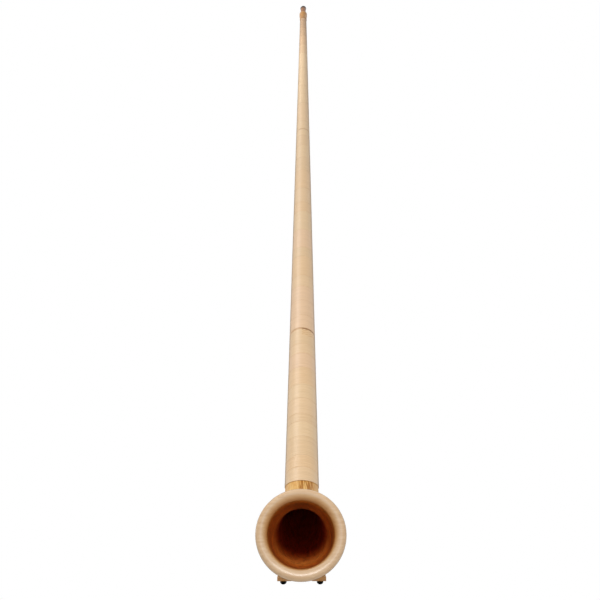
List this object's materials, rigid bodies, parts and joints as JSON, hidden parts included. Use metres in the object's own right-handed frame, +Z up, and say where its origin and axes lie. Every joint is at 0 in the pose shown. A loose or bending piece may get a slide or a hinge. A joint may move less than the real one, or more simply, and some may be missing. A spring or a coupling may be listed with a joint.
{
  "type": "alphorn",
  "caption": "Long conical wooden horn with an upturned bell, made in push-together sections and wound with cane, lying on its foot with its wooden mouthpiece fitted.",
  "frame": {"origin": "on the floor, under the middle of the whole horn", "axes": "+Z up, -Y the way the bell faces, +Y towards the mouthpiece, +X to the player's left when standing behind the mouthpiece and looking along the horn"},
  "size_m": [0.1926, 3.4698, 0.2958],
  "materials": {
    "spruce": "varnished, orange where bare and brown inside the bell",
    "cane": "split cane wound side by side, clear varnish",
    "lip_wood": "pale turned or sawn wood, gloss varnish",
    "fruitwood": "turned wood, satin varnish",
    "mouthpiece_wood": "turned wood, oiled, darker at the rim",
    "brass": "turned, lightly polished",
    "rubber": "matt black",
    "steel": "zinc plated"
  },
  "bodies": {
    "bell_section": {"bell_shell_right": "spruce", "bell_shell_left": "spruce", "bell_socket": "brass", "bell_wrap": "cane", "bell_lip": "lip_wood", "foot_board": "lip_wood", "foot_pad_left": "rubber", "foot_screw_left": "steel", "foot_pad_right": "rubber", "foot_screw_right": "steel"},
    "middle_section": {"middle_shell_right": "spruce", "middle_shell_left": "spruce", "middle_tenon": "brass", "middle_tenon_seal_1": "rubber", "middle_tenon_seal_2": "rubber", "middle_socket": "brass", "middle_wrap": "cane"},
    "upper_section": {"upper_shell_right": "spruce", "upper_shell_left": "spruce", "upper_tenon": "brass", "upper_tenon_seal_1": "rubber", "upper_tenon_seal_2": "rubber", "upper_wrap": "cane", "receiver_head": "fruitwood", "receiver_bush": "brass"},
    "mouthpiece": {"mouthpiece": "mouthpiece_wood"}
  },
  "joints": [
    {"name": "middle_pull", "type": "slide", "parent": "bell_section", "child": "middle_section", "axis": [0, 0.9999, -0.0108], "range_m": [0, 0.058]},
    {"name": "upper_pull", "type": "slide", "parent": "middle_section", "child": "upper_section", "axis": [0, 0.9999, -0.0108], "range_m": [0, 0.058]},
    {"name": "mouthpiece_pull", "type": "slide", "parent": "upper_section", "child": "mouthpiece", "axis": [0, 0.9999, -0.0108], "range_m": [0, 0.028]}
  ]
}
